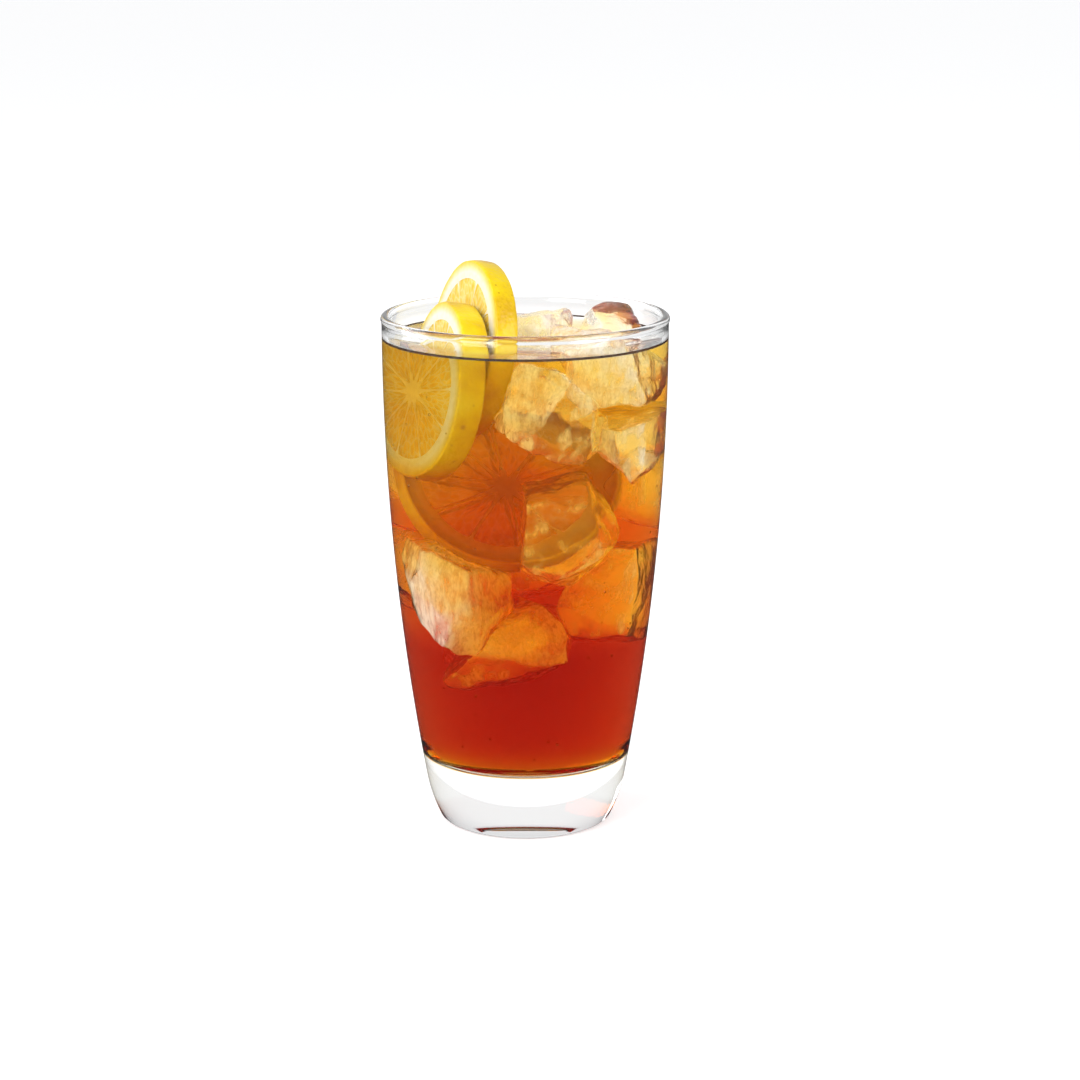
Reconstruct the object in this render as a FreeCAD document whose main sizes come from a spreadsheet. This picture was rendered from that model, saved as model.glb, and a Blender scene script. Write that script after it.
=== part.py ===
import FreeCAD, Part
import math
import os
import Sketcher
from FreeCAD import Vector

# A tall curved tumbler with a heavy base, filled with iced lemon tea. Millimetres and degrees.
# The origin is the centre of the foot on the table, +Z is up and the drinker sits on the -Y side.
# Two lemon wheels stand in the tea against the wall, and three lumps of ice float through its surface.

SIZES = {
    # tumbler
    "glass_height": 150.0,
    "foot_radius": 23.6,        # to the middle of the rounded heel
    "heel_round": 2.0,
    "flare_round": 45.0,        # short curve from the heel into the side
    "belly_radius": 41.1,       # widest outside radius
    "belly_height": 145.0,      # where the side stands upright
    "side_round": 745.0,        # long curve of the side
    "wall_thickness": 1.9,
    "base_thickness": 17.5,
    "floor_round": 5.0,         # corner between floor and wall inside
    "floor_dish": 150.0,        # radius of the dished floor
    "rim_bead": 1.25,           # radius of the rolled rim
    "punt_radius": 19.0,
    "punt_depth": 1.2,
    # drink
    "tea_level": 142.8,
    "contact_gap": 0.3,         # between the garnish and the glass
    # lemon wheels: the bearing is the compass direction of the face, from +X towards +Y,
    # and the sink is how far the middle lies below the tea's level
    "front_slice_radius": 25.0,
    "front_slice_thickness": 7.8,
    "front_slice_offset": 22.8,
    "front_slice_sink": 13.8,
    "front_slice_bearing": 200.0,
    "front_slice_lean": 10.0,
    "front_slice_spin": 10.0,
    "back_slice_radius": 25.2,
    "back_slice_thickness": 6.8,
    "slice_spacing": 3.5,        # between the facing sides, at their middles
    "back_slice_sink": 3.5,
    "back_slice_bearing": 203.0,
    "back_slice_lean": 8.5,
    "back_slice_spin": 5.0,
    "segment_count": 10,
    "rind_bulge": 0.7,
    "pith_width": 4.0,          # rind and pith together, from the outside to the pulp
    "core_radius": 2.0,
    "membrane": 1.0,
    "segment_round": 1.6,
    "pulp_dip": 0.45,
    # ice lumps: the offset is from the axis to the lump's middle, the sink is how far that lies
    # below the tea's level
    "middle_ice_length": 17.0,
    "middle_ice_width": 22.0,
    "middle_ice_height": 25.0,
    "middle_ice_offset": 15.2,
    "middle_ice_sink": 4.2,
    "middle_ice_bearing": 78.0,
    "right_ice_length": 21.0,
    "right_ice_width": 21.0,
    "right_ice_height": 20.0,
    "right_ice_offset": 22.0,
    "right_ice_sink": 5.5,
    "right_ice_bearing": -32.0,
    "back_ice_length": 16.0,
    "back_ice_width": 17.0,
    "back_ice_height": 18.0,
    "back_ice_offset": 28.6,
    "back_ice_sink": 2.4,
    "back_ice_bearing": 27.5,
    "ice_round": 1.8,
}

doc = FreeCAD.newDocument("IcedLemonTea")
sheet = doc.addObject("Spreadsheet::Sheet", "Dimensions")
for row, (alias, value) in enumerate(SIZES.items(), start=1):
    sheet.set("A%d" % row, alias)
    sheet.set("B%d" % row, str(value))
    sheet.setAlias("B%d" % row, alias)
doc.recompute()


def size(alias):
    return float(sheet.get(alias))


def new_body(name):
    return doc.addObject("PartDesign::Body", name)


def new_sketch(body, name, plane, lift=None):
    """A sketch on one of the body's own origin planes, raised by the expression lift."""
    sketch = body.newObject("Sketcher::SketchObject", name)
    support = [feature for feature in body.Origin.OriginFeatures if feature.Role == plane]
    sketch.AttachmentSupport = [(support[0], "")]
    sketch.MapMode = "FlatFace"
    if lift:
        sketch.setExpression("AttachmentOffset.Base.z", lift)
    return sketch


def bind(sketch, label, expression, *constraint):
    """Adds a constraint and ties its value to the spreadsheet."""
    index = sketch.addConstraint(Sketcher.Constraint(*constraint))
    sketch.renameConstraint(index, label)
    sketch.setExpression("Constraints." + label, expression)


def fix(sketch, *constraint):
    sketch.addConstraint(Sketcher.Constraint(*constraint))


def add_line(sketch, start, end):
    return sketch.addGeometry(Part.LineSegment(start, end), False)


def add_arc(sketch, centre, radius, start, end):
    """Arc about centre that runs counterclockwise from start to end."""
    first = math.atan2(start.y - centre.y, start.x - centre.x)
    last = math.atan2(end.y - centre.y, end.x - centre.x)
    circle = Part.Circle(centre, Vector(0, 0, 1), radius)
    return sketch.addGeometry(Part.ArcOfCircle(circle, first, last), False)


def add_circle(sketch, centre, radius):
    return sketch.addGeometry(Part.Circle(centre, Vector(0, 0, 1), radius), False)


def meeting_point(first, first_reach, second, second_reach, upper):
    """The point at the two given distances from two centres, the upper or the lower one."""
    apart = (second - first).Length
    along = (apart ** 2 + first_reach ** 2 - second_reach ** 2) / (2 * apart)
    across = math.sqrt(first_reach ** 2 - along ** 2)
    way = (second - first).normalize()
    side = Vector(-way.y, way.x, 0)
    if (side.y > 0) != upper:
        side = side.negative()
    return first + way * along + side * across


def touch_point(centre, other, radius):
    """Where the circle about centre meets one that it touches, beyond the other centre."""
    return centre + (other - centre).normalize() * radius


def level_on_arc(centre, radius, level):
    return Vector(centre.x + math.sqrt(radius ** 2 - (level - centre.y) ** 2), level, 0)


def side_centre():
    return Vector(size("belly_radius") - size("side_round"), size("belly_height"), 0)


# Inside radius of the tumbler at a height given as an expression
def cavity_radius(height):
    return (
        "(Dimensions.belly_radius - Dimensions.side_round + sqrt("
        "(Dimensions.side_round - Dimensions.wall_thickness) ^ 2 - (Dimensions.belly_height - %s) ^ 2))"
        % height
    )


def revolve(body, sketch, name, cut=False):
    kind = "PartDesign::Groove" if cut else "PartDesign::Revolution"
    feature = body.newObject(kind, name)
    feature.Profile = sketch
    feature.ReferenceAxis = (sketch, ["V_Axis"])
    feature.Angle = 360.0
    body.Tip = feature
    return feature


def outer_profile(body):
    """Half section of the solid tumbler: foot, heel, flare, long curved side and flat top."""
    sketch = new_sketch(body, "TumblerOutline", "XZ_Plane")
    heel, flare, side = size("heel_round"), size("flare_round"), size("side_round")
    heel_centre = Vector(size("foot_radius"), heel, 0)
    flare_centre = meeting_point(heel_centre, flare - heel, side_centre(), side - flare, True)
    foot_edge = Vector(heel_centre.x, 0, 0)
    heel_top = touch_point(flare_centre, heel_centre, flare)
    flare_top = touch_point(side_centre(), flare_centre, side)
    top_edge = level_on_arc(side_centre(), side, size("glass_height") - size("rim_bead"))
    top_middle = Vector(0, top_edge.y, 0)
    foot = add_line(sketch, Vector(0, 0, 0), foot_edge)
    heel_arc = add_arc(sketch, heel_centre, heel, foot_edge, heel_top)
    flare_arc = add_arc(sketch, flare_centre, flare, heel_top, flare_top)
    side_arc = add_arc(sketch, side_centre(), side, flare_top, top_edge)
    top = add_line(sketch, top_edge, top_middle)
    axis = add_line(sketch, top_middle, Vector(0, 0, 0))
    fix(sketch, "Coincident", foot, 1, -1, 1)
    fix(sketch, "Horizontal", foot)
    fix(sketch, "Tangent", foot, 2, heel_arc, 1)
    fix(sketch, "Tangent", heel_arc, 2, flare_arc, 1)
    fix(sketch, "Tangent", flare_arc, 2, side_arc, 1)
    fix(sketch, "Coincident", side_arc, 2, top, 1)
    fix(sketch, "Horizontal", top)
    fix(sketch, "Coincident", top, 2, axis, 1)
    fix(sketch, "Coincident", axis, 2, foot, 1)
    fix(sketch, "Vertical", axis)
    bind(sketch, "foot_radius", "Dimensions.foot_radius", "DistanceX", foot, 1, foot, 2, heel_centre.x)
    bind(sketch, "heel_round", "Dimensions.heel_round", "Radius", heel_arc, heel)
    bind(sketch, "flare_round", "Dimensions.flare_round", "Radius", flare_arc, flare)
    bind(sketch, "side_round", "Dimensions.side_round", "Radius", side_arc, side)
    bind(sketch, "belly_height", "Dimensions.belly_height", "DistanceY", -1, 1, side_arc, 3, side_centre().y)
    bind(sketch, "side_reach", "Dimensions.side_round - Dimensions.belly_radius",
         "DistanceX", side_arc, 3, -1, 1, -side_centre().x)
    bind(sketch, "top_level", "Dimensions.glass_height - Dimensions.rim_bead",
         "DistanceY", -1, 1, top, 2, top_edge.y)
    return sketch


def cavity_profile(body, name, top_level, top_expression):
    """Half section of the hollow, up to a level: dished floor, round corner and curved wall."""
    sketch = new_sketch(body, name, "XZ_Plane")
    side = size("side_round") - size("wall_thickness")
    corner, dish = size("floor_round"), size("floor_dish")
    floor_level = size("base_thickness")
    dish_centre = Vector(0, floor_level + dish, 0)
    corner_centre = meeting_point(dish_centre, dish - corner, side_centre(), side - corner, False)
    floor_middle = Vector(0, floor_level, 0)
    floor_edge = touch_point(dish_centre, corner_centre, dish)
    corner_top = touch_point(side_centre(), corner_centre, side)
    top_edge = level_on_arc(side_centre(), side, top_level)
    top_middle = Vector(0, top_level, 0)
    floor_arc = add_arc(sketch, dish_centre, dish, floor_middle, floor_edge)
    corner_arc = add_arc(sketch, corner_centre, corner, floor_edge, corner_top)
    wall_arc = add_arc(sketch, side_centre(), side, corner_top, top_edge)
    top = add_line(sketch, top_edge, top_middle)
    axis = add_line(sketch, top_middle, floor_middle)
    fix(sketch, "Tangent", floor_arc, 2, corner_arc, 1)
    fix(sketch, "Tangent", corner_arc, 2, wall_arc, 1)
    fix(sketch, "Coincident", wall_arc, 2, top, 1)
    fix(sketch, "Horizontal", top)
    fix(sketch, "Coincident", top, 2, axis, 1)
    fix(sketch, "Coincident", axis, 2, floor_arc, 1)
    fix(sketch, "Vertical", axis)
    fix(sketch, "PointOnObject", floor_arc, 1, -2)
    fix(sketch, "PointOnObject", floor_arc, 3, -2)
    bind(sketch, "floor_dish", "Dimensions.floor_dish", "Radius", floor_arc, dish)
    bind(sketch, "floor_round", "Dimensions.floor_round", "Radius", corner_arc, corner)
    bind(sketch, "wall_round", "Dimensions.side_round - Dimensions.wall_thickness", "Radius", wall_arc, side)
    bind(sketch, "floor_level", "Dimensions.base_thickness", "DistanceY", -1, 1, floor_arc, 1, floor_level)
    bind(sketch, "belly_height", "Dimensions.belly_height", "DistanceY", -1, 1, wall_arc, 3, side_centre().y)
    bind(sketch, "side_reach", "Dimensions.side_round - Dimensions.belly_radius",
         "DistanceX", wall_arc, 3, -1, 1, -side_centre().x)
    bind(sketch, "top_level", top_expression, "DistanceY", -1, 1, top, 2, top_level)
    return sketch


def rim_profile(body):
    """The rolled rim, a round bead centred on the wall."""
    sketch = new_sketch(body, "RimBead", "XZ_Plane")
    bead = size("rim_bead")
    centre = Vector(size("belly_radius") - size("wall_thickness") / 2, size("glass_height") - bead, 0)
    circle = add_circle(sketch, centre, bead)
    bind(sketch, "bead", "Dimensions.rim_bead", "Radius", circle, bead)
    bind(sketch, "reach", "Dimensions.belly_radius - Dimensions.wall_thickness / 2",
         "DistanceX", -1, 1, circle, 3, centre.x)
    bind(sketch, "level", "Dimensions.glass_height - Dimensions.rim_bead",
         "DistanceY", -1, 1, circle, 3, centre.y)
    return sketch


def punt_profile(body):
    """The shallow hollow under the foot, which leaves a flat ring to stand on."""
    sketch = new_sketch(body, "Punt", "XZ_Plane")
    radius, depth = size("punt_radius"), size("punt_depth")
    dome = (radius ** 2 + depth ** 2) / (2 * depth)
    crown = Vector(0, depth, 0)
    edge = Vector(radius, 0, 0)
    arc = add_arc(sketch, Vector(0, depth - dome, 0), dome, edge, crown)
    axis = add_line(sketch, crown, Vector(0, 0, 0))
    foot = add_line(sketch, Vector(0, 0, 0), edge)
    fix(sketch, "Coincident", arc, 2, axis, 1)
    fix(sketch, "Coincident", axis, 2, -1, 1)
    fix(sketch, "Coincident", axis, 2, foot, 1)
    fix(sketch, "Coincident", foot, 2, arc, 1)
    fix(sketch, "Vertical", axis)
    fix(sketch, "Horizontal", foot)
    fix(sketch, "PointOnObject", arc, 3, -2)
    bind(sketch, "radius", "Dimensions.punt_radius", "DistanceX", foot, 1, foot, 2, radius)
    bind(sketch, "depth", "Dimensions.punt_depth", "DistanceY", axis, 2, axis, 1, depth)
    return sketch


def make_glass():
    body = new_body("GlassBody")
    revolve(body, outer_profile(body), "Tumbler")
    top = size("glass_height") + size("rim_bead")
    hollow = cavity_profile(body, "Hollow", top, "Dimensions.glass_height + Dimensions.rim_bead")
    revolve(body, hollow, "Cavity", cut=True)
    revolve(body, rim_profile(body), "Rim")
    revolve(body, punt_profile(body), "PuntCut", cut=True)
    body.Label = "glass"
    return body


def wheel_profile(body, prefix):
    """Half section of a lemon wheel: flat faces and a rind that bulges a little."""
    sketch = new_sketch(body, prefix + "WheelOutline", "XZ_Plane")
    radius, half = size(prefix + "_slice_radius"), size(prefix + "_slice_thickness") / 2
    bulge = size("rind_bulge")
    face = radius - bulge
    curve = (half ** 2 + bulge ** 2) / (2 * bulge)
    low, high = Vector(face, -half, 0), Vector(face, half, 0)
    bottom = add_line(sketch, Vector(0, -half, 0), low)
    rind = add_arc(sketch, Vector(radius - curve, 0, 0), curve, low, high)
    top = add_line(sketch, high, Vector(0, half, 0))
    axis = add_line(sketch, Vector(0, half, 0), Vector(0, -half, 0))
    fix(sketch, "Coincident", bottom, 2, rind, 1)
    fix(sketch, "Coincident", rind, 2, top, 1)
    fix(sketch, "Coincident", top, 2, axis, 1)
    fix(sketch, "Coincident", axis, 2, bottom, 1)
    fix(sketch, "Horizontal", bottom)
    fix(sketch, "Horizontal", top)
    fix(sketch, "PointOnObject", axis, 1, -2)
    fix(sketch, "Symmetric", axis, 1, axis, 2, -1, 1)
    fix(sketch, "PointOnObject", rind, 3, -1)
    thickness = "Dimensions.%s_slice_thickness" % prefix
    bind(sketch, "thickness", thickness, "DistanceY", axis, 2, axis, 1, 2 * half)
    bind(sketch, "face", "Dimensions.%s_slice_radius - Dimensions.rind_bulge" % prefix,
         "DistanceX", top, 2, top, 1, face)
    bind(sketch, "curve", "((%s / 2) ^ 2 + Dimensions.rind_bulge ^ 2) / (2 * Dimensions.rind_bulge)" % thickness,
         "Radius", rind, curve)
    return sketch


def segment_profile(body, prefix, name, lift):
    """One wedge of pulp about the +X axis, with a round tip and round outer corners."""
    sketch = new_sketch(body, name, "XY_Plane", lift)
    outer = size(prefix + "_slice_radius") - size("pith_width")
    half_angle = math.pi / size("segment_count")
    wall, corner, tip = size("membrane") / 2, size("segment_round"), size("core_radius") / 2
    turn = half_angle - math.asin((wall + corner) / (outer - corner))
    tip_centre = Vector((wall + tip) / math.sin(half_angle), 0, 0)

    def mirrored(point):
        return Vector(point.x, -point.y, 0)

    corner_centre = Vector(math.cos(turn), math.sin(turn), 0) * (outer - corner)
    across = Vector(-math.sin(half_angle), math.cos(half_angle), 0)
    arc_end = touch_point(Vector(0, 0, 0), corner_centre, outer)
    side_outer = corner_centre + across * corner
    side_inner = tip_centre + across * tip
    rim = add_arc(sketch, Vector(0, 0, 0), outer, mirrored(arc_end), arc_end)
    upper_corner = add_arc(sketch, corner_centre, corner, arc_end, side_outer)
    upper_side = add_line(sketch, side_outer, side_inner)
    low_turn = add_arc(sketch, tip_centre, tip, side_inner, mirrored(side_inner))
    lower_side = add_line(sketch, mirrored(side_inner), mirrored(side_outer))
    lower_corner = add_arc(sketch, mirrored(corner_centre), corner, mirrored(side_outer), mirrored(arc_end))
    fix(sketch, "Tangent", rim, 2, upper_corner, 1)
    fix(sketch, "Tangent", upper_corner, 2, upper_side, 1)
    fix(sketch, "Tangent", upper_side, 2, low_turn, 1)
    fix(sketch, "Tangent", low_turn, 2, lower_side, 1)
    fix(sketch, "Tangent", lower_side, 2, lower_corner, 1)
    fix(sketch, "Tangent", lower_corner, 2, rim, 1)
    fix(sketch, "Coincident", rim, 3, -1, 1)
    fix(sketch, "PointOnObject", low_turn, 3, -1)
    fix(sketch, "Equal", upper_corner, lower_corner)
    fix(sketch, "Symmetric", rim, 1, rim, 2, -1)
    bind(sketch, "outer", "Dimensions.%s_slice_radius - Dimensions.pith_width" % prefix, "Radius", rim, outer)
    bind(sketch, "corner", "Dimensions.segment_round", "Radius", upper_corner, corner)
    bind(sketch, "tip", "Dimensions.core_radius / 2", "Radius", low_turn, tip)
    bind(sketch, "tip_reach", "(Dimensions.membrane + Dimensions.core_radius) / 2 / sin(180 / Dimensions.segment_count)",
         "DistanceX", -1, 1, low_turn, 3, tip_centre.x)
    bind(sketch, "wall", "Dimensions.membrane / 2", "Distance", -1, 1, upper_side, wall)
    return sketch


def make_slice(prefix, label, offset):
    """A lemon wheel with its pulp sunk a little between the membranes on both faces."""
    body = new_body(prefix.capitalize() + "Slice")
    revolve(body, wheel_profile(body, prefix), prefix + "Wheel")
    pockets = []
    for face, sign in (("Near", ""), ("Far", "-")):
        lift = "%sDimensions.%s_slice_thickness / 2" % (sign, prefix)
        sketch = segment_profile(body, prefix, prefix + face + "Segment", lift)
        pocket = body.newObject("PartDesign::Pocket", prefix + face + "Pulp")
        pocket.Profile = sketch
        pocket.Reversed = face == "Far"
        pocket.setExpression("Length", "Dimensions.pulp_dip")
        body.Tip = pocket
        pockets.append(pocket)
        doc.recompute()
    pattern = body.newObject("PartDesign::PolarPattern", prefix + "Segments")
    pattern.Originals = pockets
    pattern.Axis = (pockets[0].Profile[0], ["N_Axis"])
    pattern.Angle = 360.0
    pattern.setExpression("Occurrences", "Dimensions.segment_count")
    body.Tip = pattern
    values = {"p": "Dimensions.%s_slice_" % prefix, "offset": offset}
    values["height"] = "(Dimensions.tea_level - {p}sink)".format(**values)
    values["wall"] = cavity_radius(values["height"]) + " - Dimensions.contact_gap"
    # the wheel slides along its own plane until its rim meets the wall behind
    values["shift"] = (
        "{p}radius - sqrt(({wall}) ^ 2 - ({offset} + {p}thickness / 2) ^ 2)"
    ).format(**values)
    body.setExpression("Placement", (
        "placement(vector(0; 0; 0); rotation({p}bearing; 0; 0))"
        " * placement(vector({offset}; {shift}; {height}); rotation(0; 90 - {p}lean; 0))"
        " * placement(vector(0; 0; 0); rotation({p}spin; 0; 0))"
    ).format(**values))
    body.Label = label
    return body


def turned_block(name, prefix, grow, turn):
    """A block centred on the origin, grown by a factor and turned by three angles."""
    block = doc.addObject("Part::Box", name)
    for side in ("Length", "Width", "Height"):
        block.setExpression(side, "Dimensions.%s_ice_%s * %s" % (prefix, side.lower(), grow))
    block.setExpression("Placement", (
        "placement(vector(0; 0; 0); rotation(%s; %s; %s))"
        " * placement(vector(-%s.Length / 2; -%s.Width / 2; -%s.Height / 2); rotation(0; 0; 0))"
    ) % (turn + (name, name, name)))
    return block


def make_ice(prefix, turn, clips):
    """A lump of ice: a block clipped by turned blocks, its edges rounded by melting."""
    blocks = [turned_block(prefix + "Block", prefix, 1, turn)]
    for number, (grow, clip_turn) in enumerate(clips):
        blocks.append(turned_block("%sClip%d" % (prefix, number), prefix, grow, clip_turn))
    lump = doc.addObject("Part::MultiCommon", prefix + "Lump")
    lump.Shapes = blocks
    doc.recompute()
    melted = doc.addObject("Part::Fillet", prefix + "Melted")
    melted.Base = lump
    shortest = min(edge.Length for edge in lump.Shape.Edges)
    radius = min(size("ice_round"), 0.8 * shortest)
    melted.Edges = [(number + 1, radius, radius) for number in range(len(lump.Shape.Edges))]
    values = {"p": "Dimensions.%s_ice_" % prefix}
    melted.setExpression("Placement", (
        "placement(vector(0; 0; 0); rotation({p}bearing; 0; 0))"
        " * placement(vector({p}offset; 0; Dimensions.tea_level - {p}sink); rotation(0; 0; 0))"
    ).format(**values))
    melted.Label = "ice_" + prefix
    return melted


def make_tea(garnish):
    """The drink up to its level, cut round everything that stands in it."""
    body = new_body("Drink")
    outline = cavity_profile(body, "DrinkOutline", size("tea_level"), "Dimensions.tea_level")
    revolve(body, outline, "DrinkFill")
    tea = doc.addObject("Part::Cut", "Tea")
    pieces = doc.addObject("Part::Compound", "Garnish")
    pieces.Links = garnish
    tea.Base = body
    tea.Tool = pieces
    tea.Label = "tea"
    return tea


glass = make_glass()
front_offset = "Dimensions.front_slice_offset"
# the back wheel's middle follows the front one's, so that a thicker wheel pushes it away
back_offset = (
    "(%s - (Dimensions.front_slice_thickness + Dimensions.back_slice_thickness) / 2"
    " - Dimensions.slice_spacing)" % front_offset
)
slices = [
    make_slice("front", "lemon_slice_front", front_offset),
    make_slice("back", "lemon_slice_back", back_offset),
]
lumps = [
    make_ice("middle", (-13, 1, -2), ((1.1, (-48, -35, -41)), (1.09, (-46, -39, 39)))),
    make_ice("right", (-19, -9, -5), ((1.06, (-24, 36, -29)), (1.06, (-39, -40, -38)))),
    make_ice("back", (18, 7, 19), ((1.11, (-39, 32, 43)), (1.03, (-22, -38, 30)))),
]
tea = make_tea(slices + lumps)
doc.recompute()

nodes = [glass, tea] + slices + lumps
for item in doc.Objects:
    if "Invalid" in item.State or "Error" in item.State:
        raise RuntimeError("%s failed: %s" % (item.Label, item.State))
for node in nodes:
    if node.Shape.isNull() or not node.Shape.isValid():
        raise RuntimeError("%s has no valid shape" % node.Label)

os.makedirs("parts", exist_ok=True)
for node in nodes:
    node.Shape.exportStep("parts/%s.step" % node.Label)
    print("%-18s %d solid, %.0f mm3" % (node.Label, len(node.Shape.Solids), node.Shape.Volume))
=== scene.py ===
import math
import random

import bpy
from mathutils import Matrix, Vector, noise


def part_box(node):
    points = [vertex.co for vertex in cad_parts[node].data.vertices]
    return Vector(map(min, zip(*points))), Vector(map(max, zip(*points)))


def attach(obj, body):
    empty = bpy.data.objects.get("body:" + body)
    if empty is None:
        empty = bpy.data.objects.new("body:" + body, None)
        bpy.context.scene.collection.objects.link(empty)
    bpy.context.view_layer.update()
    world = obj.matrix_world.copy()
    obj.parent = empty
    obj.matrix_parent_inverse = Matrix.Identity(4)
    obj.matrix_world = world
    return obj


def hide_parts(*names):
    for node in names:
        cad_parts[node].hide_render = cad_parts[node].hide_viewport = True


# A tall tumbler of iced lemon tea. Metres; the tumbler stands on its foot at the origin.

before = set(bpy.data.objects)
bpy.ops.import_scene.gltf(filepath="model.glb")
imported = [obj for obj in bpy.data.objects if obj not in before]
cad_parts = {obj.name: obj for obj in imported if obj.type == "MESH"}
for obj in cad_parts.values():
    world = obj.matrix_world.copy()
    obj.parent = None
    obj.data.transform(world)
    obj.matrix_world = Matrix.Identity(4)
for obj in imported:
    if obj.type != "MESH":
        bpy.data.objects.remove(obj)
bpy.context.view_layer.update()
MM = 0.001

# The tumbler's section, as it is turned
GLASS_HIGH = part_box("glass")[1]
WALL = 1.9 * MM
BEAD = 1.25 * MM
BELLY = GLASS_HIGH.x - BEAD + WALL / 2
BELLY_LEVEL = GLASS_HIGH.z - 5 * MM
SIDE_ROUND = 745 * MM
FLARE_ROUND = 45 * MM
HEEL_ROUND = 2 * MM
FOOT = 23.6 * MM
PUNT = 19 * MM
PUNT_DEPTH = 1.2 * MM
FLOOR_ROUND = 5 * MM
FLOOR_DISH = 150 * MM
FLOOR_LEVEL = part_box("tea")[0].z
TEA_LEVEL = 142.8 * MM
WALL_BITE = 0.2 * MM        # the drink reaches this far into the glass
TURNS = 192

# How much each thing bends light, as measured in air
GLASS_INDEX = 1.5
TEA_INDEX = 1.333
ICE_INDEX = 1.31
SUNK_ICE_INDEX = 0.935      # ice full of fine air, against tea

# The drink in layers, thinned by the melting ice at the top: lower and upper level (mm),
# and how much red, green and blue light a metre of it takes
STEEPED = ((17.0, 56.0, (18, 84, 300)), (56.03, 76.0, (12, 60, 230)), (76.03, 94.0, (8.5, 43, 180)),
           (94.03, 110.0, (6.5, 32, 135)), (110.03, 126.0, (5, 22, 92)), (126.03, 142.75, (4, 16, 72)))
TEA_SHRINK = 0.12 * MM      # how far a hollow in a layer lies inside the piece that fills it
SURFACE_SHRINK = 0.08 * MM
MENISCUS = 0.9 * MM
SHADE_BAND = 0.7 * MM             # height of the painted shade, a dark band along the glass at the top of the meniscus

# Room that a sunk lump of ice leaves to its neighbours and to the wall
LUMP_ROOM = 0.3 * MM
WALL_ROOM = 0.45 * MM
SMOOTH_UNDER = math.radians(35)


# ---------------------------------------------------------------- modelling helpers

def drop_selection():
    if bpy.context.object and bpy.context.object.mode != "OBJECT":
        bpy.ops.object.mode_set(mode="OBJECT")
    bpy.ops.object.select_all(action="DESELECT")


def take(piece):
    """Selects one piece alone and makes it active."""
    drop_selection()
    piece.select_set(True)
    bpy.context.view_layer.objects.active = piece


def named(name):
    piece = bpy.context.object
    piece.name = name
    piece.data.name = name
    return piece


def settle(piece):
    """Puts the piece's place, turn and size into its mesh."""
    take(piece)
    bpy.ops.object.transform_apply(location=True, rotation=True, scale=True)
    return piece


def add_modifier(piece, kind, **settings):
    take(piece)
    modifier = piece.modifiers.new(kind.title(), kind)
    for key, value in settings.items():
        setattr(modifier, key, value)
    bpy.ops.object.modifier_apply(modifier=modifier.name)


def copy_of(piece, name):
    take(piece)
    bpy.ops.object.duplicate()
    return named(name)


def finish_with(piece, *materials):
    piece.data.materials.clear()
    for material in materials:
        piece.data.materials.append(material)


def close_up(piece):
    """Merges doubled points and turns all faces outwards."""
    take(piece)
    bpy.ops.object.mode_set(mode="EDIT")
    bpy.ops.mesh.select_all(action="SELECT")
    bpy.ops.mesh.remove_doubles(threshold=1e-6)
    bpy.ops.mesh.normals_make_consistent(inside=False)
    bpy.ops.object.mode_set(mode="OBJECT")


def turned_piece(name, section):
    """Extrudes one point along a half section and spins it about the tumbler's axis."""
    drop_selection()
    bpy.ops.mesh.primitive_plane_add(size=MM, location=(0, 0, 0))
    piece = named(name)
    bpy.ops.object.mode_set(mode="EDIT")
    bpy.ops.mesh.select_all(action="SELECT")
    bpy.ops.mesh.merge(type="CENTER")
    bpy.ops.transform.translate(value=section[0])
    for start, end in zip(section, section[1:]):
        bpy.ops.mesh.extrude_region_move(TRANSFORM_OT_translate={"value": end - start})
    bpy.ops.mesh.select_all(action="SELECT")
    bpy.ops.mesh.spin(steps=TURNS, angle=2 * math.pi, center=(0, 0, 0), axis=(0, 0, 1))
    bpy.ops.object.mode_set(mode="OBJECT")
    close_up(piece)
    bpy.ops.object.shade_smooth_by_angle(angle=SMOOTH_UNDER)
    return piece


# ---------------------------------------------------------------- materials

def new_material(name, color, roughness):
    material = bpy.data.materials.new(name)
    material.use_nodes = True
    shader = material.node_tree.nodes["Principled BSDF"]
    shader.inputs["Base Color"].default_value = (*color, 1)
    shader.inputs["Roughness"].default_value = roughness
    return material, shader


def node(material, kind, **settings):
    made = material.node_tree.nodes.new(kind)
    for key, value in settings.items():
        setattr(made, key, value)
    return made


def link(material, source, target):
    material.node_tree.links.new(source, target)


def object_noise(material, scale, detail=3.0, roughness=0.5, stretch=(1, 1, 1)):
    """Noise in the piece's own space, in lumps of about 1 / scale metres."""
    place = node(material, "ShaderNodeTexCoord")
    mapping = node(material, "ShaderNodeMapping")
    mapping.inputs["Scale"].default_value = stretch
    lumps = node(material, "ShaderNodeTexNoise")
    lumps.inputs["Scale"].default_value = scale
    lumps.inputs["Detail"].default_value = detail
    lumps.inputs["Roughness"].default_value = roughness
    link(material, place.outputs["Object"], mapping.inputs["Vector"])
    link(material, mapping.outputs["Vector"], lumps.inputs["Vector"])
    return lumps


def bump(material, shader, height, distance):
    made = node(material, "ShaderNodeBump")
    made.inputs["Strength"].default_value = 1.0
    made.inputs["Distance"].default_value = distance
    link(material, height, made.inputs["Height"])
    link(material, made.outputs["Normal"], shader.inputs["Normal"])


def remapped(material, value, source=(0.0, 1.0), target=(0.0, 1.0)):
    """A value moved from one range into another and kept inside it."""
    ranged = node(material, "ShaderNodeMapRange")
    for name, limit in zip(("From Min", "From Max", "To Min", "To Max"), (*source, *target)):
        ranged.inputs[name].default_value = limit
    link(material, value, ranged.inputs["Value"])
    return ranged.outputs["Result"]


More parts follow.
